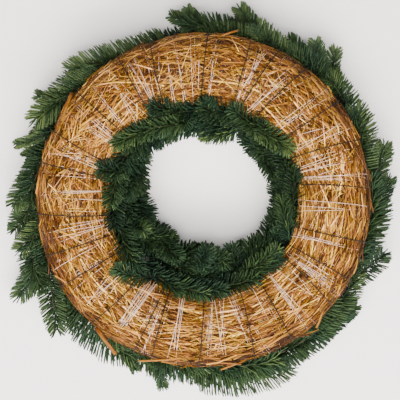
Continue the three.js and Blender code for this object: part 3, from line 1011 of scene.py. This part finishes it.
def shoulder_shoots():
    """Twigs that climb from the hole onto the straw's inner shoulder: even steps round
    the ring, each rising from the inner rim by its section angle and its height. One
    side of the hole has none."""
    rng = np.random.default_rng(24)
    jitter = rng.uniform(-SHOULDER_JITTER, SHOULDER_JITTER, SHOULDER_SHOOTS)
    tip = np.arange(SHOULDER_SHOOTS) * 360 / SHOULDER_SHOOTS + jitter
    tip = tip[(tip < BARE_SHOULDER[0]) & (tip > BARE_SHOULDER[1])]
    out = np.linspace(0, 1, 9)[None]
    angle = tip[:, None] - SHOULDER_SWEEP * (1 - out)
    section = mix(SHOULDER_ROOT, rng.uniform(*SHOULDER_TIPS, len(tip))[:, None], out)
    tip_height = rng.uniform(*SHOULDER_TIP_HEIGHTS, len(tip))[:, None]
    return ring_point(angle, section, mix(SHOULDER_ROOT_HEIGHT, tip_height, out) * MM)


SHOULDER = shoulder_shoots()
print("shoots on the inner shoulder:", len(SHOULDER))

# %% [markdown]
# ## Shoots that are seen one by one
# Round the outline each shoot has its own place and curve, and some tips lie on the
# straw's inner shoulder or stand into the hole. Each is given by its root, a bend and
# its tip, as read off the photograph, and by the height of its root and tip. Where the
# camera stands says which point in space a place in the picture is, at that height.

# %% From the picture to space
CAMERA_HEIGHT = 2.0
RIM_PIXELS = 166.5
PICTURE_PIXELS = 400
MIDDLE_PIXELS = np.array([203.5, 199.5])
RIM_RADIUS = RING_RADIUS + HALF_WIDTH
PIXEL = RIM_RADIUS / RIM_PIXELS
CAMERA_PLACE = (PICTURE_PIXELS / 2 - MIDDLE_PIXELS) * np.array([1, -1]) * PIXEL
print("a pixel at the ring's middle height, in mm:", round(PIXEL / MM, 3))


def from_picture(pixels, z):
    """The point at height z that shows at a place in the picture: the camera's place
    plus the pixels off the picture's middle, times a pixel's size at that height."""
    pixel = PIXEL * (CAMERA_HEIGHT - z) / (CAMERA_HEIGHT - RING_CENTRE_Z)
    off = (pixels - PICTURE_PIXELS / 2) * np.array([1, -1])
    level = CAMERA_PLACE + off * pixel[..., None]
    return np.concatenate([level, z[..., None]], axis=-1)


def drawn_shoots(rows):
    """Curves from root to tip, drawn to the bend between them: the three are weighed by
    the squares of the ways to go and gone, and twice the product of both."""
    out = steps(9)
    root, bend, tip = (rows[:, None, start:start + 2] for start in (0, 2, 4))
    pixels = (1 - out) ** 2 * root + 2 * out * (1 - out) * bend + out**2 * tip
    z = mix(rows[:, 6:7], rows[:, 7:8], out[..., 0]) * MM
    return from_picture(pixels, z)


# %% [markdown]
# The outer shoots follow one another round the rim, and most of them sweep the way the
# wreath was bound. A higher and a lower one take turns, so that they overlap as scales.
# The outer table's last two numbers are the needles' lean at the root of the shoot, in
# degrees, and their length. The inner table's last number is how young the needles are,
# as a percentage.

# %% Outer and inner drawn shoots
OUTER_TABLE = np.array([
    (168, 44, 114, 62, 72, 70, 50, 50, 80, 24), (104, 74, 68, 94, 36, 119, 52, 50, 72, 23),
    (66, 104, 54, 122, 38, 138, 28, 28, 70, 18), (54, 100, 45, 98, 37, 95, 22, 22, 50, 11),
    (48, 132, 32, 141, 17, 144, 38, 36, 38, 11), (50, 148, 38, 152, 27, 157, 30, 28, 50, 14),
    (44, 158, 30, 182, 15, 204, 38, 40, 72, 19), (46, 185, 30, 210, 15, 230, 26, 26, 72, 19),
    (44, 222, 32, 240, 20, 250, 36, 36, 66, 17), (50, 246, 36, 272, 20, 295, 24, 22, 62, 20),
    (46, 240, 50, 290, 57, 330, 38, 40, 76, 19), (68, 298, 84, 335, 132, 356, 36, 36, 82, 25),
    (120, 350, 132, 360, 135, 369, 24, 24, 50, 11), (152, 356, 160, 372, 163, 386, 30, 28, 48, 12),
    (150, 356, 205, 371, 262, 368, 36, 36, 90, 25), (200, 374, 244, 385, 288, 367, 24, 22, 88, 23),
    (268, 358, 304, 345, 330, 321, 38, 38, 86, 23), (320, 338, 340, 320, 356, 306, 24, 24, 58, 13),
    (318, 326, 342, 304, 356, 274, 38, 38, 64, 20), (345, 280, 372, 270, 383, 254, 28, 26, 70, 17),
    (352, 262, 372, 232, 381, 203, 36, 36, 72, 22), (366, 220, 381, 198, 389, 180, 26, 24, 56, 16),
    (368, 195, 380, 164, 384, 146, 34, 34, 55, 17), (358, 184, 366, 136, 355, 110, 50, 50, 86, 23),
    (358, 130, 344, 96, 330, 79, 44, 44, 82, 20), (332, 80, 331, 62, 336, 50, 26, 26, 60, 13),
    (326, 84, 319, 58, 315, 42, 38, 38, 55, 14), (306, 66, 300, 50, 290, 39, 30, 30, 52, 14),
    (300, 66, 272, 48, 257, 27, 50, 48, 72, 20), (262, 40, 250, 22, 240, 9, 28, 28, 52, 16),
    (262, 46, 230, 36, 203, 37, 48, 46, 86, 22), (212, 34, 197, 22, 188, 10, 34, 34, 48, 13),
    (204, 32, 188, 22, 172, 16, 26, 26, 50, 13), (256, 362, 284, 360, 306, 344, 26, 26, 80, 20),
    (330, 320, 342, 308, 350, 296, 28, 28, 70, 16),
])
OUTER_DRAWN = drawn_shoots(OUTER_TABLE)
OUTER_LEAN = (OUTER_TABLE[:, 8], 46)
OUTER_NEEDLE = OUTER_TABLE[:, 9] * MM
INNER_TABLE = np.array([
    (172, 113, 160, 107, 152, 107, 76, 84, 20), (182, 124, 144, 126, 115, 145, 74, 84, 55),
    (122, 172, 110, 170, 101, 170, 72, 85, 15), (134, 220, 139, 227, 143, 230, 56, 76, 40),
    (150, 236, 162, 240, 173, 241, 48, 50, 35), (201, 274, 203, 260, 208, 248, 58, 66, 36),
    (148, 277, 130, 277, 116, 269, 72, 87, 65), (238, 270, 234, 257, 232, 247, 50, 52, 30),
    (248, 272, 262, 264, 278, 249, 68, 76, 60), (255, 128, 275, 138, 290, 150, 70, 82, 50),
    (214, 116, 207, 110, 204, 104, 72, 84, 30), (130, 150, 138, 156, 145, 162, 46, 44, 40),
    (292, 240, 284, 222, 282, 198, 62, 66, 28), (268, 264, 277, 246, 278, 228, 56, 58, 25),
    (236, 130, 216, 136, 204, 134, 46, 44, 62), (196, 125, 180, 128, 166, 136, 48, 50, 30),
    (262, 246, 271, 232, 274, 216, 48, 50, 20), (262, 154, 271, 165, 276, 180, 48, 50, 20),
])
INNER_DRAWN = drawn_shoots(INNER_TABLE)
INNER_TONES = (INNER_TABLE[:, 8] / 100 - 0.05, 0.08)
print("drawn shoots:", len(OUTER_DRAWN), "outer,", len(INNER_DRAWN), "inner")

# %% [markdown]
# Each of these shoots grows from a twig that is bound to the straw. That part is hidden
# under the ring or in the hole, so a straight twig from the straw's side to the shoot's
# root is enough, starting a few degrees behind it.

# %% The twigs that carry them
CARRIER_DEGREES = 9


def carriers(shoots, section):
    """Straight twigs to the roots of shoots. The start is on the straw at a section angle,
    some degrees round the ring against the way that the shoot goes."""
    root = shoots[:, 0]
    way = shoots[:, -1] - root
    sense = np.sign(root[:, 0] * way[:, 1] - root[:, 1] * way[:, 0])
    start = ring_point(on_ring(root)[0] - sense * CARRIER_DEGREES, section, BUTT_HEIGHT)
    return mix(start[:, None], root[:, None], steps(6))


OUTER_CARRIERS = carriers(OUTER_DRAWN, section=-62)
INNER_CARRIERS = carriers(INNER_DRAWN, section=-152)
print("carrying twigs:", len(OUTER_CARRIERS) + len(INNER_CARRIERS))

# %% [markdown]
# ## Twig bark
# The stems are thin and taper to the bud. Young fir bark is yellow-green to brown. Only
# short stretches show between the needles.

# %% Bark finish and twigs


def bark_paint(tree):
    """Brown at the butt and green at the tip, times fine lines."""
    lines = grain(tree, 4.0, 300.0)
    along = attribute(tree, "along")
    colour = ramp(tree, along, (0.1, (0.03, 0.018, 0.008)), (0.8, (0.03, 0.034, 0.01)))
    colour = shaded(tree, 0.7, colour, lines, (0.3, (0.6, 0.55, 0.5)), (0.65, WHITE))
    return {"Base Color": colour, "Normal": bump(tree, lines, 0.0005, 0.6)}


def bark(groups, butt_radius, tip_radius):
    """Round twigs that taper evenly from butt to tip, with radii in mm."""
    twigs = np.concatenate(groups)
    radius = mix(butt_radius, tip_radius, np.linspace(0, 1, twigs.shape[1])) * MM
    sizes = np.broadcast_to(radius[None, :, None], (*twigs.shape[:2], 2))
    tone = np.linspace(0, 1, len(twigs))
    return sweep(twigs, polygon(5), sizes, upright(twigs), tone, pointed=True)


twig_skin = joined([
    bark([OUTER, FRONT, INNER], 1.6, 0.8),
    bark([FRONT_SHOOTS, INNER_SHOOTS], 0.9, 0.45),
    bark([OUTER_DRAWN, INNER_DRAWN, SHOULDER], 0.9, 0.45),
    bark([OUTER_CARRIERS, INNER_CARRIERS], 1.2, 0.9),
])
BARK = add_material("bark", 0.7, 0.3, bark_paint)
add_piece("twigs", twig_skin, BARK)

# %% [markdown]
# ## Needle finish
# Fir needles are dark and glossy, blue-green on old growth and yellow-green on young,
# and paler towards their tips. The tone says which, and it also carries painted light and
# shade: it is low for sprays that lie deep, and high on one side of the outer rim. The
# place along the needle fades the tip and puts painted shade at its root, and the place
# round it puts a pale line on the ridge.

# %% Needle finish
# The lowest tones are nearly black: painted shade for needles that lie deep.
NEEDLE_STOPS = (
    (0.0, (0.0015, 0.005, 0.0015)),
    (0.35, (0.008, 0.019, 0.004)),
    (0.65, (0.024, 0.044, 0.0125)),
    (1.0, (0.072, 0.098, 0.024)),
)


def needle_paint(tree):
    """The tone's colour, plus a pale line on the ridge, times painted shade at the root. A
    pale tip is added, and fine lines and bluish patches are multiplied in."""
    along = attribute(tree, "along")
    tone = attribute(tree, "tone")
    colour = ramp(tree, tone, *NEEDLE_STOPS)
    off_ridge = calculate(tree, "SUBTRACT", attribute(tree, "around"), 1 / 3)
    ridge = ramp(tree, calculate(tree, "ABSOLUTE", off_ridge, 0.0), (0.06, WHITE), (0.2, BLACK))
    ridge = calculate(tree, "MULTIPLY", ridge, 0.4)
    colour = blend(tree, "ADD", ridge, colour, (0.032, 0.056, 0.03))
    # Painted shade at each needle's root, where the needles shade one another; high tones get less
    # of it, and the same share sets the bluish patches.
    root_shade_and_blue_share = ramp(tree, tone, (0.45, WHITE), (0.75, grey(0.2)))
    colour = shaded(tree, root_shade_and_blue_share, colour, along, (0.0, grey(0.2)), (0.4, WHITE))
    tip = calculate(tree, "MULTIPLY", ramp(tree, along, (0.5, BLACK), (1.0, WHITE)), 0.15)
    colour = blend(tree, "ADD", tip, colour, (0.05, 0.075, 0.03))
    lines = grain(tree, 2.0, 200.0)
    colour = shaded(tree, 0.8, colour, lines, (0.3, grey(0.7)), (0.7, grey(1.15)))
    patches = ramp(tree, object_noise(tree, 22.0, 1.0), (0.42, BLACK), (0.62, WHITE))
    blue = blend(tree, "MULTIPLY", 1.0, patches, root_shade_and_blue_share)
    colour = blend(tree, "MULTIPLY", blue, colour, (0.86, 0.98, 1.35))
    return {"Base Color": colour, "Normal": bump(tree, lines, 0.0003, 0.4)}


NEEDLES = add_material("needles", 0.45, 0.1, needle_paint)

# %% [markdown]
# ## Needles
# A needle starts on the twig's bark, leans forward, more so near the tip of the twig,
# and bends in a light arc. They follow one another round the twig by the golden angle,
# as in nature, and are pressed towards the twig's flat sides like a comb. Needles that
# would stand in the straw are left out. Each is a slim pyramid of 16 triangles, since
# there are tens of thousands.

# %% Keeping needles off the straw
ROOM_MARGIN = 1.1 * MM
NEEDLE_ROOM = (np.array(cad_box[0]) + ROOM_MARGIN, np.array(cad_box[1]) - ROOM_MARGIN)
OFF_STRAW = 1.5 * MM
IN_STRAW = 0.4 * MM
MOST_LIFT = 9 * MM
MOST_SUNK = 3 * MM
print("room for needles in metres:", np.round(NEEDLE_ROOM, 4).tolist())


def inside_straw(points, margin):
    """Whether points are inside the ring's oval section, widened by a margin."""
    out, up = off_centre(points)
    return (out / (HALF_WIDTH + margin)) ** 2 + (up / (HALF_HEIGHT + margin)) ** 2 < 1


def straw_top(points):
    """Height of the straw's upper side and a little more, where a point is over it."""
    out, up = off_centre(points)
    rise = np.sqrt(np.clip(1 - (out / (HALF_WIDTH + OFF_STRAW)) ** 2, 0, 1))
    top = RING_CENTRE_Z + (HALF_HEIGHT + OFF_STRAW) * rise
    return np.where((rise > 0) & (up > 0), top, 0)


def off_straw(paths):
    """Lifts the needles over the straw's upper side onto it, unless that takes them far,
    and keeps all inside the solids' box. Says which of them are clear of the straw."""
    lifted = np.maximum(paths[..., 2], straw_top(paths))
    small = (lifted - paths[..., 2]).max(axis=1) < MOST_LIFT
    paths[..., 2] = np.where(small[:, None], lifted, paths[..., 2])
    clear = ~inside_straw(paths[:, 1:], IN_STRAW).any(axis=1) & (paths[:, -1, 2] > -MOST_SUNK)
    return np.clip(paths, *NEEDLE_ROOM), clear


# %% Growing needles
NEEDLE_PROFILE = np.array([(1.0, -0.35), (0.0, 0.65), (-1.0, -0.35)])
NEEDLE_STATIONS = np.array([0, 0.3, 0.88, 1.0])
NEEDLE_WIDTHS = np.array([0.55, 1.0, 0.85, 0.0])
NEEDLE_THICKNESS = 0.42
NEEDLE_BEND = 0.12
BEND_SHARES = (0.6, 1.3)
LENGTH_SHARES = (0.88, 1.05)
WIDTH_SHARES = (0.85, 1.15)
LAST_LENGTH = 0.6
TWIG_LEAN_SPREAD = 3
PRESSED_ABOVE = 0.4
YOUNGER_AT_TIP = 0.25
GOLDEN_ANGLE = 137.508
FULL_TURN = 6.28


def needle_places(rng, twigs, per_metre, loose):
    """For each needle its twig, its number there, and its place from 0 to 1."""
    counts = (lengths_of(twigs) * per_metre).astype(int)
    twig = np.repeat(np.arange(len(twigs)), counts)
    number = np.arange(len(twig)) - np.repeat(np.cumsum(counts) - counts, counts)
    return twig, number, (number + rng.uniform(0, 0.2 * loose, len(twig))) / counts[twig]


def needles(twigs, seed, per_metre, length, comb, tones, lean=(72, 30), width=0.9, loose=5,
            step=GOLDEN_ANGLE, raised=0.0):
    """Needles on all twigs at once. The roll round the twig goes by even steps less comb
    times the sine of twice itself, which gathers it at the sides, and raised ones stand
    up a little. A point is the root, plus the way out, plus the square of it along the
    twig. The lean is in degrees, at the twig's root and tip, and so is loose, the spread
    of the roll. The tones are their middle and how they differ from twig to twig."""
    rng = np.random.default_rng(seed)
    twig, number, place = needle_places(rng, twigs, per_metre, loose)
    root, run, side = frames(twigs, twig, place)
    turned = (step == GOLDEN_ANGLE) * rng.uniform(0, FULL_TURN, len(twigs))
    raw = np.radians(number * step) + turned[twig]
    roll = (raw - comb * np.sin(2 * raw) + np.radians(rng.normal(0, loose, len(twig))))[:, None]
    outwards = unit(np.cos(roll) * side + (np.sin(roll) + raised) * np.cross(side, run))
    first_lean = np.broadcast_to(lean[0], len(twigs))[twig]
    own_lean = rng.normal(0, TWIG_LEAN_SPREAD, len(twigs))[twig]
    own_lean = own_lean + rng.normal(0, 0.7 * loose, len(twig))
    tilt = np.radians(mix(first_lean, lean[1], place**4) + own_lean)[:, None]
    tilt = tilt * (1 - PRESSED_ABOVE * np.clip(np.sin(roll), 0, 1))
    way = np.cos(tilt) * run + np.sin(tilt) * outwards
    grown = np.broadcast_to(length, len(twigs))[twig] * mix(1, LAST_LENGTH, place**5)
    grown = grown * rng.uniform(*LENGTH_SHARES, len(twig))
    out = NEEDLE_STATIONS[None, :, None]
    bend = (NEEDLE_BEND * rng.uniform(*BEND_SHARES, len(twig)))[:, None, None]
    arc = out * way[:, None] + bend * out**2 * (run - 0.5 * outwards)[:, None]
    paths, clear = off_straw(root[:, None] + grown[:, None, None] * arc)
    upward = np.array([0, 0, 1.0]) + 0.5 * run + rng.normal(0, 0.04 * loose, (len(twig), 3))
    ups = np.broadcast_to(upward[:, None], paths.shape)
    widths = np.stack([NEEDLE_WIDTHS, NEEDLE_WIDTHS * NEEDLE_THICKNESS], axis=1) * width * MM
    sizes = widths[None] * rng.uniform(*WIDTH_SHARES, len(twig))[:, None, None]
    tone = rng.normal(tones[0], tones[1], len(twigs))[twig] + YOUNGER_AT_TIP * place**3
    tone = np.clip(tone + rng.normal(0, 0.034 * loose, len(twig)), 0, 1)
    return sweep(paths[clear], NEEDLE_PROFILE, sizes[clear], ups[clear], tone[clear], pointed=True)


# %% Needles of the front and outer sprays
NEEDLE_LENGTH = 20 * MM
# Painted light: the outer combs' tone is highest towards this angle, where the ring shades them,
# and lowest opposite.
PAINTED_LIGHT_SIDE = 128


def node_names(row, count):
    """The solids' names in one row of sprays, counted from 01."""
    return [f"{row}_spray_{number + 1:02d}" for number in range(count)]


def add_sprays(name, nodes, skins):
    """Joins several skins of needles in one piece."""
    add_piece(name, joined(skins), NEEDLES, nodes)


# Painted shade: the front sprays and the carrying twigs lie low under the ring, so their needles
# get low tones.
add_sprays("front_sprays", node_names("front", len(FRONT)), [
    needles(FRONT, 31, 1700, NEEDLE_LENGTH, 0.3, (0.15, 0.1), width=1.0),
    needles(FRONT_SHOOTS, 32, 1650, NEEDLE_LENGTH, 0.3, (0.2, 0.12), width=1.0),
    needles(OUTER_CARRIERS, 42, 1650, NEEDLE_LENGTH, 0.2, (0.15, 0.1), width=1.0),
    needles(INNER_CARRIERS, 43, 1650, NEEDLE_LENGTH * 0.8, 0.2, (0.1, 0.1), width=1.0),
])
outer_names = node_names("outer", len(OUTER))
add_sprays("outer_sprays_bound", outer_names[::2], [
    needles(OUTER, 33, 2300, NEEDLE_LENGTH * 1.1, 0.42, (0.3, 0.12), (80, 50), 0.9, 4),
])
OUTER_SIDE = np.arctan2(OUTER_DRAWN[:, 4, 1], OUTER_DRAWN[:, 4, 0])
# Painted light and shade: lighter towards one side, where the ring shades the combs, and darker
# opposite.
OUTER_TONE = 0.57 + 0.14 * np.cos(OUTER_SIDE - np.radians(PAINTED_LIGHT_SIDE))
# Painted shade: the under layer is darker than the comb above it.
UNDER_TONES = (OUTER_TONE - 0.3, 0.1)
COMB_TONES = (OUTER_TONE, 0.1)
add_sprays("outer_sprays_rim", outer_names[1::2], [
    needles(OUTER_DRAWN, 34, 1400, OUTER_NEEDLE * 0.95, 0.4, UNDER_TONES, OUTER_LEAN, 0.8, 4),
    needles(OUTER_DRAWN, 35, 800, OUTER_NEEDLE, 0.0, COMB_TONES, OUTER_LEAN, 0.92, 1.5, 180, 0.25),
])

# %% Needles of the inner sprays
INNER_LEAN = (76, 52)
# Painted shade: the sprays in the hole lie deep, so their needles get low tones.
add_sprays("inner_sprays_upper", node_names("inner_upper", len(INNER_UPPER)), [
    needles(INNER_UPPER, 37, 2400, NEEDLE_LENGTH * 0.9, 0.25, (0.04, 0.1), INNER_LEAN),
    needles(INNER_DRAWN, 38, 3200, NEEDLE_LENGTH * 0.75, 0.2, INNER_TONES, INNER_LEAN, 0.8),
    needles(SHOULDER, 41, 2400, NEEDLE_LENGTH * 0.8, 0.3, (0.16, 0.15), INNER_LEAN, 0.8),
])
add_sprays("inner_sprays_lower", node_names("inner_lower", len(INNER_LOWER)), [
    needles(INNER_LOWER, 39, 2400, NEEDLE_LENGTH * 0.9, 0.25, (0.0, 0.1), INNER_LEAN),
    needles(INNER_SHOOTS, 40, 2300, NEEDLE_LENGTH * 0.8, 0.25, (0.11, 0.14), INNER_LEAN, 0.8),
])

# %% [markdown]
# ## Floor and light
# The wreath lies on a pale, matt surface under soft light, with the gentlest shade near
# the foliage. A wide window lamp and a ceiling lamp, both from the picture's lower side,
# give the straw its highlights. A small pendant lamp, a fill lamp and a pale world
# lighten the shades.

# %% Floor, lamps and world
FLOOR_SIZE = 12
# Each lamp's name, place, width and height, watts, colour, and spread in degrees.
LAMPS = (
    ("window", (0.1, -1.0, 1.2), (2.4, 0.6), 74, (1.0, 0.98, 0.95), 180),
    ("ceiling", (0.0, -0.7, 2.1), (2.2, 2.2), 52, (1.0, 0.99, 0.97), 100),
    ("pendant", (0.0, -0.35, 2.7), (0.65, 0.65), 1.1, (1.0, 0.99, 0.97), 25),
    ("fill", (-1.2, -0.2, 1.8), (1.6, 1.6), 13, (1.0, 0.97, 0.93), 180),
)


def floor_paint(tree):
    """Two whites, which follow broad clouds of noise."""
    clouds = node(tree, "ShaderNodeTexNoise", {"Scale": 9.0}).outputs["Fac"]
    colour = ramp(tree, clouds, (0.3, (0.79, 0.77, 0.755)), (0.7, (0.82, 0.8, 0.785)))
    return {"Base Color": colour}


def add_floor():
    """A wide plane at height 0, on which the wreath lies."""
    bpy.ops.mesh.primitive_plane_add(size=FLOOR_SIZE)
    floor = bpy.context.object
    floor.name = "floor"
    floor.data.materials.append(add_material("floor", 0.9, 0.1, floor_paint))


def add_lamp(name, place, size, energy, colour, spread):
    """A rectangular lamp that is aimed at the middle of the wreath."""
    lamp = bpy.data.lights.new(name, "AREA")
    lamp.shape = "RECTANGLE"
    lamp.size, lamp.size_y = size
    lamp.spread = np.radians(spread)
    lamp.energy = energy
    lamp.color = colour
    holder = bpy.data.objects.new(name, lamp)
    bpy.context.scene.collection.objects.link(holder)
    holder.location = place
    holder.rotation_mode = "QUATERNION"
    holder.rotation_quaternion = (-holder.location).to_track_quat("-Z", "Y")


def add_world():
    """An even, pale light from all round."""
    world = bpy.data.worlds.new("pale_room")
    world.use_nodes = True
    background = world.node_tree.nodes["Background"]
    background.inputs["Color"].default_value = (0.95, 0.97, 1.0, 1)
    background.inputs["Strength"].default_value = 0.18
    bpy.context.scene.world = world


add_floor()
add_world()
for lamp_values in LAMPS:
    add_lamp(*lamp_values)
print("floor and", len(LAMPS), "lamps are set")

# %% [markdown]
# ## Camera
# The photograph looks straight down. The ring's outer rim shows 166.5 pixels from its
# middle in a picture 400 wide, and the middle lies a little right of the picture's, so
# the lens and the camera's place follow from those numbers.

# %% Camera


def add_camera():
    """The lens is the distance to the rim, times its share of the picture, times the
    sensor's width, over the rim's radius."""
    camera = bpy.data.cameras.new("camera")
    distance = CAMERA_HEIGHT - RING_CENTRE_Z
    camera.lens = distance * RIM_PIXELS / PICTURE_PIXELS * camera.sensor_width / RIM_RADIUS
    holder = bpy.data.objects.new("camera", camera)
    bpy.context.scene.collection.objects.link(holder)
    holder.location = (*CAMERA_PLACE, CAMERA_HEIGHT)
    bpy.context.scene.camera = holder
    print("lens in mm:", round(camera.lens, 1))


add_camera()
